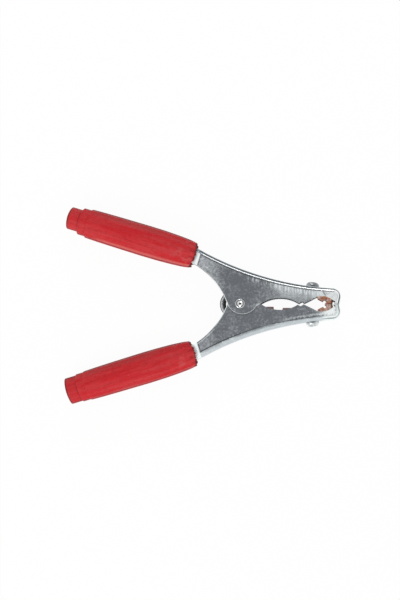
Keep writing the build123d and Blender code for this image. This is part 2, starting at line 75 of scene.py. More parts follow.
def colour(red, green, blue):
    """A linear colour from the 0 to 255 scale that screens use."""
    def linear(v):
        v = v / 255
        return v / 12.92 if v <= 0.04045 else ((v + 0.055) / 1.055) ** 2.4
    return (linear(red), linear(green), linear(blue), 1.0)


# ---- materials ----

def easing(tree, low, high, bottom, top):
    """A node that eases its value from bottom at low to top at high."""
    node = tree.nodes.new("ShaderNodeMapRange")
    node.interpolation_type = "SMOOTHSTEP"
    ends = {"From Min": low, "From Max": high, "To Min": bottom, "To Max": top}
    for key, number in ends.items():
        node.inputs[key].default_value = number
    return node


class Nodes:
    """A material whose node tree is built in short calls."""

    def __init__(self, name):
        self.material = bpy.data.materials.new(name)
        self.material.use_nodes = True
        self.tree = self.material.node_tree
        self.shader = self.tree.nodes["Principled BSDF"]
        self.place = self.add("ShaderNodeTexCoord").outputs["Object"]
        self.whole = self.scaled((1, 1, 1))

    def add(self, kind, **values):
        node = self.tree.nodes.new(kind)
        for key, value in values.items():
            setattr(node, key, value)
        return node

    def feed(self, socket, value):
        """Gives a socket a link or a plain value."""
        if isinstance(value, bpy.types.NodeSocket):
            self.tree.links.new(value, socket)
        else:
            socket.default_value = value

    def set(self, **values):
        """Feeds the shader's own sockets."""
        for key, value in values.items():
            self.feed(self.shader.inputs[key.replace("_", " ")], value)

    def math(self, operation, a, b=0.0, clamp=False):
        node = self.add("ShaderNodeMath", operation=operation, use_clamp=clamp)
        self.feed(node.inputs[0], a)
        self.feed(node.inputs[1], b)
        return node.outputs[0]

    def chain(self, operation, values):
        result = values[0]
        for value in values[1:]:
            result = self.math(operation, result, value)
        return result

    def times(self, *values):
        return self.chain("MULTIPLY", values)

    def total(self, *values):
        return self.chain("ADD", values)

    def most(self, *values):
        return self.chain("MAXIMUM", values)

    def less(self, value, amount):
        return self.math("SUBTRACT", value, amount)

    def magnitude(self, value):
        """The value without its sign."""
        return self.math("ABSOLUTE", value)

    def hypot(self, a, b):
        return self.math("SQRT", self.total(self.times(a, a), self.times(b, b)))

    def band(self, value, low, high, bottom=0.0, top=1.0):
        """Eases a value from bottom at low to top at high."""
        node = easing(self.tree, low, high, bottom, top)
        self.feed(node.inputs["Value"], value)
        return node.outputs["Result"]

    def between(self, value, start, full, fade, end):
        """1 between full and fade, easing to 0 at start and end."""
        return self.times(self.band(value, start, full), self.band(value, end, fade))

    def blend(self, kind, amount, first, second):
        node = self.add("ShaderNodeMix", data_type=kind)
        for key, value in (("Factor", amount), ("A", first), ("B", second)):
            self.feed(node.inputs[key], value)
        return node.outputs["Result"]

    def mix(self, amount, first, second):
        """A colour between two others."""
        return self.blend("RGBA", amount, first, second)

    def blend_values(self, amount, first, second):
        """A plain number between two others."""
        return self.blend("FLOAT", amount, first, second)

    def scaled(self, scale, turn=0.0):
        """Object coordinates, turned about Z and stretched."""
        node = self.add("ShaderNodeMapping")
        self.feed(node.inputs["Vector"], self.place)
        node.inputs["Rotation"].default_value = (0, 0, turn)
        node.inputs["Scale"].default_value = scale
        return node.outputs[0]

    def vector(self, x, y, z):
        node = self.add("ShaderNodeCombineXYZ")
        for socket, value in zip(node.inputs, (x, y, z)):
            self.feed(socket, value)
        return node.outputs[0]

    def noise(self, vector, scale, detail=3.0, roughness=0.55):
        node = self.add("ShaderNodeTexNoise")
        self.feed(node.inputs["Vector"], vector)
        node.inputs["Scale"].default_value = scale
        node.inputs["Detail"].default_value = detail
        node.inputs["Roughness"].default_value = roughness
        return node.outputs["Fac"]

    def centred(self, value):
        """A noise with its middle moved to 0."""
        return self.less(value, 0.5)

    def cells(self, vector, scale):
        """Distance to the nearest of many scattered points."""
        node = self.add("ShaderNodeTexVoronoi", feature="F1")
        self.feed(node.inputs["Vector"], vector)
        node.inputs["Scale"].default_value = scale
        return node.outputs["Distance"]

    def bump(self, height, strength, distance):
        node = self.add("ShaderNodeBump")
        self.feed(node.inputs["Height"], height)
        node.inputs["Strength"].default_value = strength
        node.inputs["Distance"].default_value = distance
        self.tree.links.new(node.outputs[0], self.shader.inputs["Normal"])

    def axis(self, which):
        """One coordinate from the pivot, in millimetres."""
        split = self.add("ShaderNodeSeparateXYZ")
        self.feed(split.inputs[0], self.place)
        start = PIVOT["XYZ".index(which)]
        return self.math("DIVIDE", self.less(split.outputs[which], start), MM)

    def distance(self, x, y, centre):
        """Millimetres in the plan from a point."""
        return self.hypot(self.less(x, centre[0]), self.less(y, centre[1]))

    def handle(self, x, up):
        """Place along the handle from the start of the tang, and height over its middle."""
        over, rise = self.less(x, TANG_START.x), self.less(up, TANG_START.y)
        cosine, sine = math.cos(HANDLE_ANGLE), math.sin(HANDLE_ANGLE)
        along = self.less(self.times(rise, sine), self.times(over, cosine))
        out = self.total(self.times(over, sine), self.times(rise, cosine), TANG_HALF_HEIGHT)
        return along, out


BASE_FROST = 0.08               # brightness of a cheek with no marks
ZINC_GREY = (0.42, 0.453, 0.495, 1)
ZINC_BRIGHT = (0.85, 0.9, 0.91, 1)
CLOUD_TINT = (0.5, 0.45, 0.53, 1)
NOSE_WHITE = (0.96, 1.0, 1.0, 1)
JOGGLE_WHITE = (0.93, 0.985, 0.985, 1)
MARK_AND_SHADE_DARK = (0.12, 0.13, 0.135, 1)
WEDGE_DARK = (0.27, 0.32, 0.35, 1)
RIM_DARK = (0.1, 0.12, 0.13, 1)

# What differs between the outer (upper) and the inner (lower) jaw.
OUTER_LOOK = {
    "front": (6, 34), "front_frost": 0.5, "rear_frost": 0.33, "nose_light": 0.5,
    "swirl_frost": 0.35, "brushed": 0.55, "fold_side": (6.6, 7.6), "pressed_bump": 0.3,
    "line_colour": (0.95, 0.97, 0.97, 1), "line_rough": 0.32, "nose_dark": (0.19, 0.16, 0.19, 1),
}
INNER_LOOK = {
    "front": (46, 58), "front_frost": 0.12, "rear_frost": 0.17, "nose_light": 0.56,
    "swirl_frost": 0.15, "brushed": 0.12, "fold_side": (5.4, 6.4), "pressed_bump": 0.05,
    "line_colour": (0.78, 0.87, 0.86, 1), "line_rough": 0.6, "nose_dark": (0.16, 0.2, 0.19, 1),
}


class JawSteel(Nodes):
    """Zinc-plated sheet: mottled cheeks, press streaks, painted highlights on the folds, cut edges,
    joggle and nose, and painted shade lines.

    Both jaws are drawn as if they were the upper one, so up leads from the pivot to the web.
    """

    def __init__(self, name, sign):
        super().__init__(name)
        self.outer = sign > 0
        self.look = OUTER_LOOK if self.outer else INNER_LOOK
        self.x, self.up = self.axis("X"), self.times(self.axis("Y"), float(sign))
        self.side = self.magnitude(self.axis("Z"))
        self.under, self.depth = self.under_web()
        self.along, self.out = self.handle(self.x, self.up)
        self.lobe_reach = self.distance(self.x, self.up, (LOBE[0], LOBE[1] * sign))
        self.rear_reach = self.less(self.distance(self.x, self.up, REAR_EDGE), REAR_EDGE[2])
        self.grain = self.noise(self.whole, 1500, 2, 0.7)
        self.fleck = self.noise(self.whole, 800, 2, 0.6)
        self.cloud = self.noise(self.whole, 95, 3, 0.5)
        self.streaks = self.noise(self.scaled((1, 0.1, 0.3)), 1150, 1, 0.5)
        self.nose = self.band(self.x, 43, 53)
        self.nose_end = self.band(self.x, 48, 54)
        self.fold_side = self.band(self.side, *self.look["fold_side"])
        self.joggle = self.band(self.along, -8.5, -7.6)
        self.pressed = self.press_streaks()
        if not self.outer:
            self.shift = self.band(self.x, 18, 28, 0.0, 0.55)   # draws its lines nearer the web

    def under_web(self):
        """Depth under the web's outer face, and the same carried round the nose, in millimetres.

        The second is never more than NOSE_CORNER, so only the first can fade over a cheek.
        """
        under = self.less(self.distance(self.x, self.up, WEB_CENTRE), WEB_RADIUS)
        ahead = self.times(self.less(self.x, NOSE_CENTRE[0]), math.cos(NOSE_LEAN))
        above = self.times(self.less(self.up, NOSE_CENTRE[1]), math.sin(NOSE_LEAN))
        front = self.most(self.less(ahead, above), 0.0)
        top = self.most(self.less(NOSE_CORNER, under), 0.0)
        return under, self.less(NOSE_CORNER, self.hypot(front, top))

    def press_streaks(self):
        """Short scratches that hang from the fold."""
        x = self.x
        reach = self.band(x, -14, -8) if self.outer else self.between(x, -9, -8, 1, 3)
        depth = self.between(self.under, 2.4, 2.8, 3.8, 6.6)
        sparse = self.less(self.streaks, self.band(x, 8, -2, 0.0, 0.06))
        return self.times(depth, self.band(sparse, 0.5, 0.6), reach)

    def near_fold(self, front):
        """Change of brightness beside the fold."""
        if self.outer:
            return self.times(front, self.band(self.under, 10.0, 3.0, -0.16, 0.16))
        points = self.band(self.cells(self.whole, 1050), 0.32, 0.16)
        sparkle = self.times(points, self.between(self.x, 25, 30, 47, 51), 0.34)
        strip = self.between(self.total(self.under, self.shift), 3.4, 3.8, 4.6, 5.5)
        return self.total(sparkle, self.times(strip, self.band(self.x, 22, 32), 0.46))

    def tone_and_light(self):
        """Base brightness, from the grey cheek to a nose made near white by a painted highlight."""
        x, look = self.x, self.look
        front, rear = self.band(x, *look["front"]), self.band(x, -4, -21)
        swirl = self.magnitude(self.centred(self.noise(self.whole, 190, 3, 0.5)))
        swirl = self.times(self.band(swirl, 0.09, 0.0), self.band(x, -14, -28))
        mottle = self.noise(self.whole, 330, 3, 0.6)
        flecks = self.band(x, 8, 34, 1.5, 0.6) if self.outer else 1.3
        speckle = self.total(
            self.times(self.centred(self.fleck), flecks),
            self.times(self.centred(self.grain), 0.7),
            self.times(self.centred(mottle), 0.6),
            self.times(self.centred(self.cloud), 0.9),
        )
        brushed = self.times(self.centred(self.streaks), self.band(x, 12, 30))
        bright = self.total(
            self.times(front, look["front_frost"]),
            self.times(rear, look["rear_frost"]),
            # painted highlight on the nose
            self.times(self.nose, look["nose_light"]),
            self.times(self.pressed, 0.42),
            self.times(speckle, 0.75),
            self.times(brushed, self.band(self.under, 12, 4), look["brushed"]),
            self.times(swirl, look["swirl_frost"]),
            self.near_fold(front),
        )
        return self.math("ADD", bright, BASE_FROST, clamp=True)

    def rear_light(self):
        """Light along the rear cut edge."""
        line = self.band(self.rear_reach, 0.5, 0.36)
        return self.times(line, self.band(self.x, -5, -7), self.band(self.x, -24, -13, 0.3, 1.0))

    def outer_marks(self):
        """Upper jaw: painted highlights on fold and cut edges, painted outline and shade lines."""
        x, depth, ear = self.x, self.depth, LOBE[2]
        # Painted highlight on the cut edge of the ear.
        lobe = self.band(self.lobe_reach, ear - 0.45, ear - 0.25)
        edge = self.most(self.rear_light(), self.times(lobe, self.band(self.up, 0.8, -0.6), 0.6))
        # Painted highlight along the fold, with painted shade lines: the fold's outline, a line
        # under the highlight, a crease and the front of the nose.
        lines = self.less(depth, self.band(x, 50, 42, 0.12, 0.38))
        white = self.between(lines, 0.92, 1.14, 1.46, 1.7)
        outline = self.times(self.band(lines, 1.04, 0.9), self.fold_side)
        under_line = self.between(lines, 1.55, 1.8, 2.05, 2.6)
        slant = self.between(self.less(x, self.times(depth, 0.6)), 48.5, 49.0, 49.5, 50.1)
        dark = self.most(
            outline,
            self.times(under_line, self.band(x, 58, 56.5), 0.85),
            self.times(slant, self.between(depth, 2.2, 2.6, 4.5, 5.5), 0.7),
            self.times(self.band(depth, 3.4, 1.8), self.band(x, 58.5, 60.5), 0.32),
        )
        return self.times(white, self.band(x, 38, 52, 0.95, 0.8)), edge, outline, dark

    def inner_marks(self):
        """The same for the lower jaw, whose painted outline is only the rim of its nose."""
        x, ear, lines = self.x, LOBE[2], self.total(self.depth, self.shift)
        # A painted paler band on the fold and a painted shade line at its edge.
        white = self.times(self.band(lines, 3.0, 2.7), 0.3)
        line = self.between(lines, 2.75, 3.0, 3.3, 3.7)
        line = self.times(line, self.band(x, 20, -12, 0.25, 0.95))
        ticks = self.noise(self.scaled((1, 0.8, 1), math.radians(14)), 1250, 2, 0.6)
        dents = self.times(self.between(lines, 2.9, 3.2, 3.9, 4.5), self.band(ticks, 0.46, 0.6))
        dents = self.times(dents, self.band(x, 27, 34), 0.65)
        # Painted shadow of the upper jaw's ear.
        shade = self.between(self.lobe_reach, ear - 0.2, ear, ear + 0.2, ear + 0.9)
        shade = self.times(shade, self.band(self.up, -0.5, 1.0), 0.45)
        # Painted shade on the rim of the nose.
        rim = self.times(self.band(self.depth, 1.5, 0.9), self.band(x, 47, 56))
        rim = self.times(rim, self.fold_side, 0.75)
        # A painted highlight just inside the rear cut edge.
        inset = self.between(self.rear_reach, 0.7, 0.9, 1.1, 1.3)
        inset = self.times(inset, self.band(x, -14, -18), 0.6)
        edge = self.most(self.times(self.rear_light(), self.band(x, -18, -13)), inset)
        return white, edge, rim, self.most(self.most(line, dents), self.most(shade, rim))

    def crease_shade(self, dark):
        """Adds painted shade in the crease at the joggle and in the wrinkles of the nose."""
        crease = self.between(self.along, -9.3, -8.8, -8.3, -7.9)
        crease = self.times(crease, self.band(self.depth, 2.6, 3.1), 0.6)
        wrinkle = self.magnitude(self.centred(self.noise(self.whole, 210, 1, 0.4)))
        wrinkle = self.times(self.band(wrinkle, 0.03, 0.008), self.band(self.x, 50.5, 52.5))
        wrinkle = self.times(wrinkle, self.band(self.depth, 2.6, 3.2), 0.45)
        return self.most(dark, crease, wrinkle)

    def joggle_wedge(self):
        """Painted shade atop the upper joggle, carrying the painted outline on to the sleeve."""
        start = self.between(self.along, -10.0, -8.5, -1.2, -0.4)
        ridge = self.between(self.along, -9.0, -8.0, -1.2, -0.4)
        return self.most(
            self.times(self.band(self.depth, 2.5, 1.9), start, self.fold_side),
            self.times(self.band(self.out, 2.3, 3.1), ridge, self.band(self.side, 2.5, 4.5)),
        )

    def build(self):
        """Puts the layers together and gives back the material."""
        tone_and_light = self.tone_and_light()
        if self.outer:
            white, edge, outline, dark = self.outer_marks()
            # Painted shade: the outer part of the fold keeps the plain grey of the cheek.
            fold_shade = self.times(self.band(self.depth, 2.6, 1.6), self.fold_side)
            tone_and_light = self.times(tone_and_light, self.less(1.0, fold_shade))
        else:
            white, edge, outline, dark = self.inner_marks()
        cloudy = self.times(self.band(self.cloud, 0.42, 0.6), self.band(self.x, -16, -30), 0.35)
        base = self.mix(tone_and_light, ZINC_GREY, ZINC_BRIGHT)
        base = self.mix(cloudy, base, CLOUD_TINT)
        # Painted highlight that turns the nose near white.
        base = self.mix(self.times(self.nose, self.nose_end, 0.95), base, NOSE_WHITE)
        # One dark colour for the painted shade lines and creases, and for the lower jaw's dents.
        mark_and_shade_colour = self.mix(self.nose, MARK_AND_SHADE_DARK, self.look["nose_dark"])
        base = self.mix(self.crease_shade(dark), base, mark_and_shade_colour)
        # Painted highlights on the folds and cut edges.
        base = self.mix(self.most(white, edge), base, self.look["line_colour"])
        # Painted highlight on the joggle.
        base = self.mix(self.joggle, base, JOGGLE_WHITE)
        rim = outline
        if self.outer:
            # Painted shade on top of the joggle.
            base = self.mix(self.joggle_wedge(), base, WEDGE_DARK)
            rim = self.times(outline, self.band(self.along, -2, -3.5))
        # Painted shade: the dark outline of the upper jaw's fold and the rim of the lower jaw's
        # nose.
        base = self.mix(rim, base, RIM_DARK)

        dull_nose = self.times(self.nose_end, self.band(self.depth, 2.0, 2.8), 0.85)
        soft = self.most(self.joggle, edge, dull_nose)
        rough = self.blend_values(tone_and_light, 0.28, 0.66)
        rough = self.blend_values(self.most(white, soft), rough, self.look["line_rough"])
        matt = self.most(soft, self.times(self.joggle, 1.25))
        if self.outer:
            matt = self.most(matt, self.times(outline, 1.3))
            self.set(Specular_IOR_Level=self.blend_values(outline, 0.5, 0.1))
        metallic = self.blend_values(self.joggle, self.blend_values(matt, 1.0, 0.3), 0.0)
        self.set(Base_Color=base, Metallic=metallic, Roughness=rough)
        scratches = self.times(self.pressed, self.look["pressed_bump"])
        relief = self.total(self.times(self.fleck, 0.6), self.times(self.grain, 0.3), scratches)
        self.bump(relief, 0.45, 0.00012)
        return self.material


def plated(name, dark, light, rough):
    """Bright zinc plate with small scratches and dull patches."""
    m = Nodes(name)
    patch = m.noise(m.whole, 500)
    m.set(Base_Color=m.mix(m.band(patch, 0.35, 0.7), dark, light), Metallic=1.0)
    m.set(Roughness=m.blend_values(patch, rough - 0.08, rough + 0.12))
    m.bump(m.noise(m.whole, 2600, 2), 0.2, 0.00004)
    return m.material


def spring_steel():
    """Painted light on the outer turns; painted shade on the turns between and the outer flank."""
    m = Nodes("spring_wire_steel")
    patch = m.noise(m.whole, 420)
    outer = m.band(m.magnitude(m.axis("Z")), 2.2, 3.1)
    shaded_flank = m.band(m.distance(m.axis("X"), m.axis("Y"), (-4.0, 0.0)), 7.9, 8.25)
    # Painted shade on the middle turns, painted light on the outer turns, painted shade on the
    # flank.
    base = m.mix(m.band(patch, 0.35, 0.65), (0.1, 0.105, 0.11, 1), (0.22, 0.23, 0.24, 1))
    base = m.mix(outer, base, (0.8, 0.82, 0.82, 1))
    base = m.mix(shaded_flank, base, (0.05, 0.052, 0.055, 1))
    m.set(Base_Color=base, Metallic=m.blend_values(shaded_flank, 0.7, 0.1))
    m.set(Roughness=m.blend_values(outer, 0.5, 0.4))
    m.set(Specular_IOR_Level=0.1, Specular_Tint=(0.3, 0.3, 0.31, 1))
    m.bump(m.noise(m.whole, 2200, 2), 0.2, 0.00003)
    return m.material


def rivet_zinc():
    """Bright zinc, with painted shade in the rolled head's groove, in the bore and round the rim.
    """
    m = Nodes("rolled_rivet_zinc")
    reach = m.distance(m.axis("X"), m.axis("Y"), (0, 0))
    patch = m.noise(m.whole, 700)
    # Painted shade in the groove and the bore, and a painted shadow round the rim.
    groove = m.between(reach, 1.62, 1.82, 2.1, 2.4)
    rim = m.band(reach, 2.75, 2.95)
    bore = m.band(reach, 0.72, 0.5)
    painted_shade = m.most(m.times(groove, 0.85), rim, bore)
    base = m.mix(m.band(patch, 0.35, 0.7), (0.6, 0.62, 0.63, 1), (0.87, 0.88, 0.88, 1))
    base = m.mix(painted_shade, base, (0.09, 0.095, 0.1, 1))
    m.set(Base_Color=base, Metallic=1.0, Roughness=m.blend_values(patch, 0.2, 0.42))
    m.bump(m.noise(m.whole, 2600, 2), 0.2, 0.00004)
    return m.material


def bare_copper():
    """Rolled copper: darker tarnish in patches, painted shade behind the teeth, and a dull rear."""
    m = Nodes("rolled_copper")
    x = m.axis("X")
    tarnish = m.noise(m.whole, 330, 4, 0.6)
    pits = m.times(m.band(m.noise(m.whole, 900, 2, 0.6), 0.55, 0.66), 0.75)
    # Painted shade in the hollow behind the teeth.
    hollow_shade = m.times(m.between(x, 55.2, 55.9, 56.9, 57.4), 0.8)
    brown = m.band(x, 44, 38, 0.0, 0.8)
    base = m.mix(m.band(tarnish, 0.42, 0.62), (1.0, 0.74, 0.63, 1), (0.62, 0.27, 0.17, 1))
    base = m.mix(pits, base, (0.14, 0.04, 0.025, 1))
    base = m.mix(hollow_shade, base, (0.2, 0.06, 0.035, 1))
    base = m.mix(brown, base, (0.27, 0.165, 0.155, 1))
    metallic = m.times(m.blend_values(tarnish, 0.6, 1.0), m.less(1.0, brown))
    m.set(Base_Color=base, Metallic=metallic, Roughness=m.blend_values(tarnish, 0.28, 0.5))
    m.bump(m.noise(m.scaled((0.4, 1, 1)), 1900, 2), 0.3, 0.00005)
    return m.material


# ---- mesh helpers ----

def new_piece(name, body, slot, material, *replaced, mesh):
    """A visible piece in place of CAD nodes, riding on a body when one is given."""
    piece = bpy.data.objects.new(name, mesh)
    bpy.context.collection.objects.link(piece)
    piece.data.materials.append(material)
    if body:
        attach(piece, body)
    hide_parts(*replaced)
    return piece


def smooth(mesh):
    mesh.polygons.foreach_set("use_smooth", [True] * len(mesh.polygons))


def sharpen(mesh, degrees=38):
    mesh.set_sharp_from_angle(angle=math.radians(degrees))


def grid_mesh(name, rings, close=False):
    """Skins rings of equally many points, and caps the ends unless the last joins the first."""
    count = len(rings[0])
    verts = [tuple(point) for ring in rings for point in ring]
    faces = []
    for row in range(len(rings) if close else len(rings) - 1):
        here, there = row * count, (row + 1) % len(rings) * count
        for i in range(count):
            j = (i + 1) % count
            faces.append((here + i, here + j, there + j, there + i))
    if not close:
        faces.append(tuple(reversed(range(count))))
        faces.append(tuple(range((len(rings) - 1) * count, len(rings) * count)))
    mesh = bpy.data.meshes.new(name)
    mesh.from_pydata(verts, [], faces)
    shell = bmesh.new()
    shell.from_mesh(mesh)
    bmesh.ops.recalc_face_normals(shell, faces=shell.faces)
    shell.to_mesh(mesh)
    shell.free()
    smooth(mesh)
    return mesh


def edged_copy(node, name, body, slot, material, width):
    """A CAD node's own shape with its cut edges broken, in place of that node."""
    mesh = bpy.data.meshes.new(name)
    shell = bmesh.new()
    shell.from_mesh(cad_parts[node].data)
    bmesh.ops.remove_doubles(shell, verts=shell.verts, dist=1e-6)
    flat = math.radians(0.8)
    bmesh.ops.dissolve_limit(shell, angle_limit=flat, verts=shell.verts, edges=shell.edges)
    sharp = [e for e in shell.edges if e.is_manifold and e.calc_face_angle() > math.radians(35)]
    bmesh.ops.bevel(
        shell, geom=sharp, offset=width, segments=2, profile=0.5, affect="EDGES",
        clamp_overlap=True,
    )
    bmesh.ops.triangulate(shell, faces=[f for f in shell.faces if len(f.verts) > 4])
    shell.to_mesh(mesh)
    shell.free()
    smooth(mesh)
    sharpen(mesh, 30)
    piece = new_piece(name, body, slot, material, node, mesh=mesh)
    even = piece.modifiers.new("flat_faces", "WEIGHTED_NORMAL")
    even.keep_sharp = True
    even.weight = 100


# ---- sleeves ----

SLEEVE_LENGTH = 81.4
SLEEVE_START = 3.9              # how far the mouth reaches past the start of the tang
BORE = 4.55                     # radius of the hole for the lead
CAVITY = (5.12, 5.62)           # half height and half width of the hole round the tang
CAVITY_CORNER = math.atan2(5.65, 5.15)
CAVITY_END = SLEEVE_LENGTH - SLEEVE_START - TANG_LENGTH - 0.1
RIBS = 12
SIDE_STEPS = 32                 # round each side of a ring
BOW = 0.6                       # how far the collar and the neck's end bow, at their sides
BOW_FADE = 12
MOUTH_BOW = 2.0                 # the same for the mouth, the other way
MOUTH_BOW_FADE = 14
FLUTE_DEPTH = 0.3
FLUTE_START = 12.4
RAGGED_START = 77

# Half height and half width.
NECK_SIZES = {"upper": (7.0, 7.7), "lower": (8.2, 6.9)}
COLLAR_SIZES = {"upper": (8.45, 8.6), "lower": (8.75, 8.6)}
# Distance from the neck's end, and how much smaller the ring is than the neck or the collar.
NECK_INSETS = ((0.0, 0.9), (0.12, 0.3), (0.5, 0), (2.5, 0), (5, 0), (6.9, 0), (7.25, 0))
COLLAR_INSETS = ((7.4, 0.3), (7.8, 0), (9.5, 0), (12.0, 0), (12.25, 0))
GRIP_START = 12.9
GRIP_END = SLEEVE_LENGTH - 1.2
GRIP_STEPS = 34
# Distance from the neck's end, half height, half width.
GRIP = ((12.4, 9.15, 9.3), (20, 9.4, 9.5), (33, 9.6, 9.7), (50, 9.75, 9.8), (60, 9.65, 9.7),
        (70, 9.25, 9.4), (76, 8.8, 8.9), (81.4, 8.05, 8.1))
# Distance back from the mouth, half height, half width, depth of the flutes, raggedness.
MOUTH = ((0.85, 8.05, 8.15, 0.15, 1.0), (0.55, 7.85, 7.95, 0.08, 1.5), (0.6, 7.3, 7.4, 0.0, 1.5),
         (1.3, 6.7, 6.95, 0.0, 0.6))


def eased(table, at):
    """Reads the other columns of a table at a place, with straight runs between its rows."""
    for (a, *first), (b, *second) in zip(table, table[1:]):
        if at <= b:
            share = max(0.0, (at - a) / (b - a))
            return [p + (q - p) * share for p, q in zip(first, second)]
    return list(table[-1][1:])


def ring_angles():
    """Angles round the handle that meet the corners of the tang's cavity."""
    corner, half = CAVITY_CORNER, math.pi
    marks = [-corner, corner, half - corner, half + corner, 2 * half - corner]
    angles = []
    for first, second in zip(marks, marks[1:]):
        angles += [first + (second - first) * i / SIDE_STEPS for i in range(SIDE_STEPS)]
    return angles


def sleeve_mesh(side, sign):
    """Closed skin: neck, collar, fluted grip, ragged mouth, tang cavity and lead bore."""
    across = Vector((-math.cos(HANDLE_ANGLE), math.sin(HANDLE_ANGLE), 0))
    out = Vector((math.sin(HANDLE_ANGLE), math.cos(HANDLE_ANGLE), 0))
    angles = ring_angles()

    def put(from_neck, high, wide):
        place = TANG_START + across * (SLEEVE_LENGTH - SLEEVE_START - from_neck)
        place += out * (high - TANG_HALF_HEIGHT)
        return spot(place.x, place.y * sign, max(-HALF_THICKNESS, min(HALF_THICKNESS, wide)))

    def torn(angle, ragged):
        """Saw teeth at the flutes, with noise over them."""
        teeth = 0.45 * abs(math.fmod(angle * RIBS / math.pi + 20.5, 2) - 1) - 0.2
        rough = noise.noise(Vector((math.cos(angle) * 9, math.sin(angle) * 9, sign * 7.0)))
        return ragged * teeth + ragged * 0.7 * rough

    def oval(from_neck, half_height, half_width, flute=0.0, ragged=0.0, bow=0.0):
        ring = []
        for angle in angles:
            wave = math.cos(angle * RIBS)
            sink = flute * (1 - max(0.0, min(1.0, 0.5 + 0.9 * wave)))
            at = from_neck + torn(angle, ragged) - bow * math.sin(angle) ** 2
            high = (half_height - sink) * math.cos(angle)
            ring.append(put(at, high, (half_width - sink) * math.sin(angle)))
        return ring

    def box_ring(from_neck, high, wide):
        ring = []
        for angle in angles:
            cosine, sine = math.cos(angle), math.sin(angle)
            reach = min(high / max(abs(cosine), 1e-6), wide / max(abs(sine), 1e-6))
            ring.append(put(from_neck, reach * cosine, reach * sine))
        return ring

    rings = [oval(0.0, 4.9, 4.9, bow=BOW)]
    for size, insets in ((NECK_SIZES[side], NECK_INSETS), (COLLAR_SIZES[side], COLLAR_INSETS)):
        rings += [oval(at, size[0] - inset, size[1] - inset, bow=BOW) for at, inset in insets]
    rings += [oval(12.45, 8.95, 9.05, 0.1, bow=BOW), oval(GRIP_START, 9.15, 9.28, 0.25, bow=BOW)]
    for i in range(1, GRIP_STEPS):
        at = GRIP_START + (GRIP_END - GRIP_START) * i / GRIP_STEPS
        flute = min(1.0, (at - FLUTE_START) / 3) * min(1.0, (SLEEVE_LENGTH + 1 - at) / 6)
        ragged = max(0.0, at - RAGGED_START) * 0.08
        bow = BOW * max(0, 1 - (at - GRIP_START) / BOW_FADE)
        bow -= MOUTH_BOW * max(0, (at - SLEEVE_LENGTH) / MOUTH_BOW_FADE + 1)
        rings.append(oval(at, *eased(GRIP, at), FLUTE_DEPTH * flute, ragged, bow))
    for back, high, wide, flute, ragged in MOUTH:
        rings.append(oval(SLEEVE_LENGTH - back, high, wide, flute, ragged, -MOUTH_BOW))
    rings.append(oval(SLEEVE_LENGTH - 3.5, 6.3, 6.7))
    rings.append(box_ring(SLEEVE_LENGTH - 5.0, *CAVITY))
    rings.append(box_ring(CAVITY_END, *CAVITY))
    rings.append(oval(CAVITY_END, 4.6, 4.6))
    rings.append(oval(0.4, BORE, BORE, bow=BOW))
    return grid_mesh(side + "_sleeve", rings, close=True)


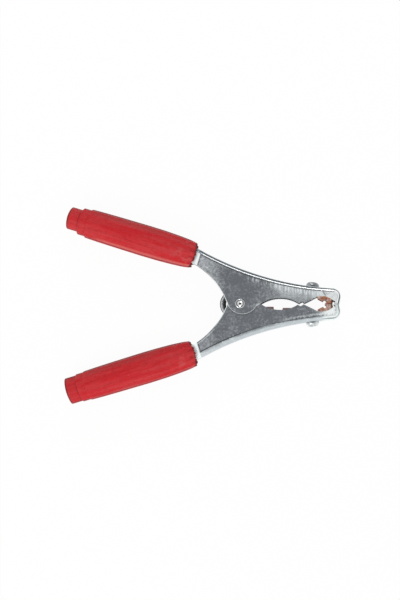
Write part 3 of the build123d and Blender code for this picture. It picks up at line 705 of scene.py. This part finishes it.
def vinyl():
    """Soft red vinyl: streaks, paler patches near the mouth, and painted shade in the creases,
    in the flutes at the mouth, on the side turned to +Y, along the edges, and at and inside
    the mouth, with a painted paler band on the side turned to -Y.

    facing is 1 where the surface is turned to +Y and -1 where it is turned to -Y.
    """
    m = Nodes("red_vinyl")
    along, out = m.handle(m.axis("X"), m.magnitude(m.axis("Y")))
    side = m.axis("Z")
    radius = m.hypot(out, side)
    up_share, side_share = m.math("DIVIDE", out, radius), m.math("DIVIDE", side, radius)
    streak = m.noise(m.vector(m.times(along, 0.012), up_share, side_share), 3.4, 2, 0.5)
    fine = m.noise(m.vector(m.times(along, 0.05), up_share, side_share), 9, 3, 0.6)
    patch = m.noise(m.whole, 130)
    grain = m.noise(m.whole, 1300, 2, 0.6)
    bulge = m.math("POWER", side_share, 2.0)

    turns = m.times(m.math("ARCTAN2", side, out), float(RIBS))
    # Painted shade in the flutes at the mouth.
    flute = m.times(m.band(m.math("COSINE", turns), 0.1, -0.9), m.band(along, 0, -3))
    groove_shade = m.times(flute, m.band(streak, 0.35, 0.6), 0.7)
    stepped = m.less(along, m.times(bulge, BOW))
    # Painted shade in the creases at the two steps of the collar.
    crease = m.times(m.between(stepped, 64.9, 65.1, 65.3, 65.8), 0.12)
    crease_shade = m.most(m.between(stepped, 69.95, 70.1, 70.3, 70.9), crease)
    # Darker red: painted shade in the creases and flutes, with random patches of the vinyl's own
    # tone.
    tone_and_shade = m.total(
        m.times(crease_shade, 0.8),
        groove_shade,
        m.times(m.band(fine, 0.48, 0.7), 0.4),
        m.times(m.band(patch, 0.55, 0.8), 0.25),
    )
    base = m.mix(m.band(streak, 0.38, 0.66), colour(197, 28, 36), colour(197, 48, 52))
    base = m.mix(m.math("MULTIPLY", tone_and_shade, 0.85, clamp=True), base, colour(146, 12, 22))

    # Paler patches near the mouth.
    paler_near_mouth = m.times(m.band(m.noise(m.whole, 260, 2, 0.5), 0.5, 0.66), m.band(along, 16, 0), 0.4)
    base = m.mix(paler_near_mouth, base, colour(206, 92, 92))
    base = m.mix(m.times(m.band(grain, 0.55, 0.75), 0.3), base, colour(214, 78, 76))

    facing = m.times(up_share, m.math("SIGN", m.axis("Y")))
    # Painted shade on the side turned to +Y.
    darker_shade = m.times(
        m.between(facing, 0.55, 0.76, 0.88, 0.97), m.band(along, 4, 30), m.band(along, 66, 60), 0.3,
    )
    base = m.mix(darker_shade, base, colour(150, 60, 58))
    # Painted light: a paler band on the side turned to -Y.
    lit_pale = m.times(
        m.between(m.times(facing, -1.0), 0.76, 0.84, 0.9, 0.95), m.band(along, 62, 50),
        m.band(m.axis("Y"), -5, 5), 0.42,
    )
    base = m.mix(lit_pale, base, colour(226, 128, 120))

    # Painted shade along the edges turned to +Y and -Y, stronger on the +Y side.
    edge_shade = m.times(
        m.between(m.magnitude(facing), 0.9, 0.96, 0.985, 0.999), m.band(along, -4, 2),
        m.band(radius, 6.2, 6.7), m.band(facing, -0.5, 0.5, 0.45, 0.8),
    )
    neck_end = m.times(m.band(stepped, 76.2, 76.8), 0.65)
    base = m.mix(m.most(edge_shade, neck_end), base, colour(84, 26, 24))

    # Painted shade at the lip of the mouth and inside it.
    lip = m.total(along, m.times(bulge, MOUTH_BOW))
    inside_shade = m.times(m.band(radius, 7.5, 6.9), m.band(along, 40, 30))
    base = m.mix(m.most(m.band(lip, -2.2, -3.0, 0.0, 0.8), inside_shade), base, colour(96, 16, 20))
    m.set(Base_Color=base, Roughness=m.blend_values(patch, 0.44, 0.62), Specular_IOR_Level=0.22)
    m.bump(m.total(m.times(grain, 0.5), m.times(fine, 0.6)), 0.3, 0.00015)
    return m.material


red = vinyl()
for side, sign in (("upper", 1), ("lower", -1)):
    new_piece(
        side + "_vinyl_grip", side + "_jaw", "grip_vinyl", red, side + "_grip_sleeve",
        mesh=sleeve_mesh(side, sign),
    )

# ---- torsion spring ----

WIRE = 1.0                      # radius of the wire
COIL_RADIUS = 7.6
COIL_PITCH = 2.45
COIL_STEPS = 150
COIL_TURNS = 3                  # whole turns, before what the legs' angle adds
COIL_LEAN = 1.7                 # how far the middle turn stands towards the nose
LEAN_REACH, LEAN_EASE = 0.23, 0.15      # shares of the coil's length, each way from its middle
SPACER_RADIUS = 2.5
SPACER_GAP = 0.1
LEG_REACH = 19.0
LEG_GAP = 0.15                  # between a leg and its web
LEG_LIFT = 0.05
LEG_SHARES = (1.0, 0.985, 0.9, 0.75, 0.6, 0.45, 0.3, 0.2, 0.1, 0.05)
WIRE_SIDES = 18


def spring_points():
    """Centre line of the wire: leg, coil and leg."""
    centre = Vector((SPACER_RADIUS + SPACER_GAP + WIRE - COIL_RADIUS, 0))
    seat = WEB_RADIUS + SHEET + LEG_GAP + WIRE
    drop = math.sqrt(seat ** 2 - (WEB_CENTRE.x + LEG_REACH) ** 2)
    span = Vector((-LEG_REACH, WEB_CENTRE.y - drop)) - centre
    leaving = math.atan2(span.y, span.x) - math.acos(COIL_RADIUS / span.length)
    sweep = 2 * leaving + COIL_TURNS * 2 * math.pi
    climb = COIL_PITCH / (2 * math.pi)
    coil = []
    for i in range(COIL_STEPS + 1):
        turned = sweep * i / COIL_STEPS
        angle = leaving - turned
        share = (LEAN_REACH - abs(i / COIL_STEPS - 0.5)) / LEAN_EASE
        share = max(0.0, min(1.0, share))
        lean = COIL_LEAN * share * share * (3 - 2 * share)
        x = centre.x + lean + COIL_RADIUS * math.cos(angle)
        coil.append(Vector((x, COIL_RADIUS * math.sin(angle), climb * (sweep / 2 - turned))))
    leg = math.sqrt(span.length ** 2 - COIL_RADIUS ** 2)
    first = Vector((-math.sin(leaving), math.cos(leaving), 0)) * leg
    last = Vector((-math.sin(leaving), -math.cos(leaving), 0)) * leg
    lift = Vector((0, 0, LEG_LIFT))
    upper = [coil[0] + first * share + lift for share in LEG_SHARES]
    lower = [coil[-1] + last * share - lift for share in reversed(LEG_SHARES)]
    return upper + coil + lower


def tube(points, radius, sides):
    """Rings square to a line of points, with the ends drawn in."""
    rings = []
    side = None
    for i, here in enumerate(points):
        ahead = points[min(i + 1, len(points) - 1)] - points[max(i - 1, 0)]
        ahead.normalize()
        if side is None:
            side = Vector((0, 0, 1)).cross(ahead).normalized()
        side = (side - ahead * side.dot(ahead)).normalized()
        other = ahead.cross(side)
        size = radius * (0.8 if i in (0, len(points) - 1) else 1.0)
        rings.append([
            spot(*(here + (side * math.cos(a) + other * math.sin(a)) * size))
            for a in (2 * math.pi * k / sides for k in range(sides))
        ])
    return rings


wire = grid_mesh("torsion_spring_wire", tube(spring_points(), WIRE, WIRE_SIDES))
spring = new_piece(
    "torsion_spring_wire", None, "spring_wire", spring_steel(), "torsion_spring", mesh=wire)
sharpen(spring.data)
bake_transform(spring)

# ---- metal parts ----

SCREW_X = 44.4                  # where the terminal screws cross the outer faces of the webs
THREAD_TOP, THREAD_END = -0.4, -7.6
THREAD_STEP = 0.07              # between rings of the thread
THREAD_STEPS = 102
THREAD_PITCH = 0.7
THREAD_DEPTH = 0.3
SCREW_SIDES = 48
RIVET_SIDES = 72
RECESS_TURN = 0.5               # of the cross, in radians
RECESS_ENDS = ((3.4, 2.3, 0.52), (1.6, 1.0, 0.34))      # height, half length, half width
BAR_FACES = ((0, 3, 2, 1), (4, 5, 6, 7), (0, 1, 5, 4), (1, 2, 6, 5), (2, 3, 7, 6), (3, 0, 4, 7))

# Profiles are pairs of radius and height.
RIVET = (
    (0.05, -9.5), (2.5, -9.5), (3.2, -9.4), (3.62, -9.15), (3.8, -8.8), (3.8, -8.6), (3.7, -8.56),
    (2.0, -8.56), (2.0, 8.56), (2.95, 8.56), (3.0, 8.66), (2.96, 8.9), (2.82, 9.16), (2.6, 9.32),
    (2.36, 9.38), (2.12, 9.34), (1.92, 9.2), (1.8, 9.04), (1.7, 8.98), (1.6, 8.94), (0.62, 8.42),
    (0.5, 8.3), (0.45, 8.0), (0.42, 5.8), (0.05, 5.6),
)
PAN_HEAD = (
    (0.05, 3.08), (0.9, 3.06), (1.7, 2.98), (2.5, 2.78), (3.1, 2.42), (3.6, 1.9), (3.9, 1.3),
    (4.0, 0.8), (4.0, 0.3), (3.88, 0.1), (2.1, 0.1), (2.0, 0.02), (2.0, THREAD_TOP),
)
SCREW_TIP = ((1.7, -7.66), (1.4, -7.8), (0.05, -7.8))


def turned(profile, origin, across, axis, count, wander=None):
    """Rings of points turned about an axis, less what wander takes off at an angle and height."""
    other = axis.cross(across)
    rings = []
    for radius, height in profile:
        ring = []
        for k in range(count):
            angle = 2 * math.pi * k / count
            reach = radius - (wander(angle, height) if wander else 0)
            way = across * (reach * math.cos(angle)) + other * (reach * math.sin(angle))
            ring.append(origin + (way + axis * height) * MM)
        rings.append(ring)
    return rings


def pivot_rivet():
    """Domed back head, shank, and a rolled head round a shallow cone with a punched centre."""
    rings = turned(RIVET, PIVOT, Vector((1, 0, 0)), Vector((0, 0, 1)), RIVET_SIDES)
    return grid_mesh("pivot_rivet", rings)


def screw_place(sign):
    """Where a terminal screw's head sits on the web: origin, along the web, and out of it."""
    lean = math.asin((WEB_CENTRE.x - SCREW_X) / WEB_RADIUS)
    sine, cosine = math.sin(lean), math.cos(lean)
    x, y = WEB_CENTRE.x - WEB_RADIUS * sine, WEB_CENTRE.y - WEB_RADIUS * cosine
    return spot(x, sign * y), Vector((cosine, -sign * sine, 0)), Vector((sine, sign * cosine, 0))


def thread(angle, height):
    """Depth of the thread under the crest."""
    if height > THREAD_TOP or height < THREAD_END:
        return 0.0
    turn = (height / THREAD_PITCH - angle / (2 * math.pi)) % 1
    return THREAD_DEPTH * abs(2 * turn - 1)


def cross_blade(origin, across, out):
    """Two tapered bars, for the recess of a head."""
    cutter = bmesh.new()
    for turn in (RECESS_TURN, RECESS_TURN + math.pi / 2):
        along = across * math.cos(turn) + out.cross(across) * math.sin(turn)
        beside = out.cross(along)
        corners = []
        for height, long, wide in RECESS_ENDS:
            for a, b in ((-1, -1), (1, -1), (1, 1), (-1, 1)):
                place = along * (a * long) + beside * (b * wide) + out * height
                corners.append(cutter.verts.new(origin + place * MM))
        for face in BAR_FACES:
            cutter.faces.new([corners[i] for i in face])
    bmesh.ops.recalc_face_normals(cutter, faces=cutter.faces)
    blade = bpy.data.meshes.new("recess")
    cutter.to_mesh(blade)
    cutter.free()
    return blade


def terminal_screw(name, sign):
    """Pan head with a cross recess, over a threaded shank."""
    shank = [(2.0, THREAD_TOP - i * THREAD_STEP) for i in range(1, THREAD_STEPS + 1)]
    origin, across, out = screw_place(sign)
    profile = [*PAN_HEAD, *shank, *SCREW_TIP]
    mesh = grid_mesh(name, turned(profile, origin, across, out, SCREW_SIDES, thread))
    return carved(mesh, cross_blade(origin, across, out))


def carved(mesh, blade):
    """Cuts a closed mesh with another, and returns the cut mesh."""
    body = bpy.data.objects.new("body", mesh)
    tool = bpy.data.objects.new("tool", blade)
    for thing in (body, tool):
        bpy.context.collection.objects.link(thing)
    cut = body.modifiers.new("cut", "BOOLEAN")
    cut.operation = "DIFFERENCE"
    cut.solver = "EXACT"
    cut.use_self = True
    cut.object = tool
    bpy.context.view_layer.update()
    evaluated = body.evaluated_get(bpy.context.evaluated_depsgraph_get())
    ready = bpy.data.meshes.new_from_object(evaluated)
    ready.name = mesh.name
    for thing in (body, tool):
        bpy.data.objects.remove(thing)
    bpy.data.meshes.remove(mesh)
    bpy.data.meshes.remove(blade)
    smooth(ready)
    return ready


copper = bare_copper()
# A pale lit copy of the zinc for the lower screw: painted light.
lit_pale = plated("lit_pale_zinc", (0.5, 0.53, 0.54, 1), (0.85, 0.88, 0.88, 1), 0.34)
# Darker zinc for the washers, nuts and spacer, which is also the upper screw's painted shaded copy.
darker_shade = plated("darker_shade_zinc", (0.2, 0.21, 0.22, 1), (0.5, 0.52, 0.53, 1), 0.3)
for side, sign in (("upper", 1), ("lower", -1)):
    steel = JawSteel(side + "_jaw_steel", sign).build()
    for node, made, slot, material, width in (
        ("_jaw_shell", "_pressed_jaw", "jaw_steel", steel, 0.26),
        ("_contact", "_copper_contact", "contact_copper", copper, 0.12),
        ("_lock_washer", "_split_washer", "fastener_zinc", darker_shade, 0.1),
        ("_terminal_nut", "_hex_nut", "fastener_zinc", darker_shade, 0.12),
    ):
        edged_copy(side + node, side + made, side + "_jaw", slot, material, width * MM)
    screw = terminal_screw(side + "_pan_screw", sign)
    sharpen(screw, 32)
    # Painted light and shade: the upper screw gets the darker shaded copy, the lower the pale lit
    # one.
    shading_copy = darker_shade if sign > 0 else lit_pale
    new_piece(
        side + "_pan_screw", side + "_jaw", "fastener_zinc", shading_copy, side + "_terminal_screw",
        mesh=screw,
    )
rivet = new_piece(
    "rolled_rivet", "upper_jaw", "rivet_steel", rivet_zinc(), "pivot_rivet", mesh=pivot_rivet())
sharpen(rivet.data, 50)
for piece_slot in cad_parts["pivot_spacer"].material_slots:
    piece_slot.material = darker_shade

# ---- studio ----

# The dark card overhead: its tilt, and the angles from its middle where it starts to fade and
# where it ends, in degrees.
DARK_TILT = 12.0
DARK_INNER = 22.0
DARK_OUTER = 55.0
DARK_LEVEL = 0.28
NEAR_LIGHT = 1.0
FAR_LIGHT = 0.3
FLOOR_GLOW = 0.95
FLOOR_REACH = 3                 # in metres
SENSOR = 36.0
PICTURE_HEIGHT = 600            # in pixels
FOCAL_PIXELS = 1560.0
PIXEL = 0.617                   # millimetres in the clamp's middle plane
PHOTO_PIVOT = (240.7, 304.4)    # pixels
PHOTO_CENTRE = (200, 300)
VIEW_FOOT = (300.0, 390.0)      # the pixel that the eye stands over


def photo_spot(x, y, z=0.0):
    """The place under a pixel of a 400 x 600 picture, in the clamp's middle plane."""
    return spot((x - PHOTO_PIVOT[0]) * PIXEL, (PHOTO_PIVOT[1] - y) * PIXEL, z)


def add_camera():
    data = bpy.data.cameras.new("camera")
    data.sensor_width = SENSOR
    data.lens = SENSOR * FOCAL_PIXELS / PICTURE_HEIGHT
    data.clip_start = 0.01
    camera = bpy.data.objects.new("camera", data)
    eye = photo_spot(*VIEW_FOOT, FOCAL_PIXELS * PIXEL)
    back = (eye - photo_spot(*PHOTO_CENTRE)).normalized()
    right = (Vector((1, 0, 0)) - back * back.x).normalized()
    camera.matrix_world = Matrix((right, back.cross(right), back)).transposed().to_4x4()
    camera.location = eye
    bpy.context.collection.objects.link(camera)
    bpy.context.scene.camera = camera


def background_ray(tree):
    """1 for the rays that show a background: to the camera, or by way of metal or glass."""
    path = tree.nodes.new("ShaderNodeLightPath")
    total = path.outputs["Is Camera Ray"]
    for other in ("Is Glossy Ray", "Is Transmission Ray"):
        node = tree.nodes.new("ShaderNodeMath")
        node.operation = "MAXIMUM"
        tree.links.new(total, node.inputs[0])
        tree.links.new(path.outputs[other], node.inputs[1])
        total = node.outputs[0]
    return total


def add_floor():
    """A white floor that shows its own glow as a background and takes shadows otherwise."""
    mesh = bpy.data.meshes.new("floor")
    far = FLOOR_REACH
    corners = [(-far, -far, 0), (far, -far, 0), (far, far, 0), (-far, far, 0)]
    mesh.from_pydata(corners, [], [(0, 1, 2, 3)])
    floor = bpy.data.objects.new("floor", mesh)
    bpy.context.collection.objects.link(floor)
    m = Nodes("floor")
    m.set(Base_Color=(0.95, 0.95, 0.95, 1), Roughness=0.9)
    glow = m.add("ShaderNodeEmission")
    blend = m.add("ShaderNodeMixShader")
    m.feed(blend.inputs[0], m.times(background_ray(m.tree), FLOOR_GLOW))
    m.feed(blend.inputs[1], m.shader.outputs[0])
    m.feed(blend.inputs[2], glow.outputs[0])
    output = next(n for n in m.tree.nodes if n.type == "OUTPUT_MATERIAL")
    m.feed(output.inputs[0], blend.outputs[0])
    mesh.materials.append(m.material)


def add_lamp(name, place, size, power):
    """A round lamp that faces the origin."""
    data = bpy.data.lights.new(name, "AREA")
    data.shape = "DISK"
    data.size = size
    data.energy = power
    lamp = bpy.data.objects.new(name, data)
    lamp.location = place
    lamp.rotation_euler = Vector(place).to_track_quat("Z", "Y").to_euler()
    bpy.context.collection.objects.link(lamp)


def add_world():
    """White round the horizon, with a dark card overhead; as light, dimmer from the far side."""
    world = bpy.data.worlds.new("studio")
    world.use_nodes = True
    tree = world.node_tree
    place = tree.nodes.new("ShaderNodeTexCoord")

    def eased_sky(direction, low, high, bottom, top):
        lean = tree.nodes.new("ShaderNodeVectorMath")
        lean.operation = "DOT_PRODUCT"
        lean.inputs[1].default_value = direction
        tree.links.new(place.outputs["Generated"], lean.inputs[0])
        shade = easing(tree, low, high, bottom, top)
        tree.links.new(lean.outputs["Value"], shade.inputs["Value"])
        return shade.outputs["Result"]

    tilt = math.radians(DARK_TILT)
    outer, inner = math.cos(math.radians(DARK_OUTER)), math.cos(math.radians(DARK_INNER))
    picture = eased_sky((0, math.sin(tilt), math.cos(tilt)), outer, inner, 1.0, DARK_LEVEL)
    light = eased_sky((0, 1, 0), -0.6, 0.9, NEAR_LIGHT, FAR_LIGHT)
    choose = tree.nodes.new("ShaderNodeMix")
    choose.data_type = "FLOAT"
    sky = tree.nodes["Background"]
    sky.inputs[0].default_value = (1, 1, 1, 1)
    for made, socket in (
        (background_ray(tree), choose.inputs["Factor"]), (light, choose.inputs["A"]),
        (picture, choose.inputs["B"]), (choose.outputs["Result"], sky.inputs["Strength"]),
    ):
        tree.links.new(made, socket)
    bpy.context.scene.world = world


add_camera()
add_floor()
add_lamp("strip", (0.0, 0.85, 0.5), 0.25, 2.0)
add_lamp("fill", (-0.5, -0.7, 0.8), 0.5, 3)
add_world()
bpy.context.scene.view_settings.view_transform = "Standard"
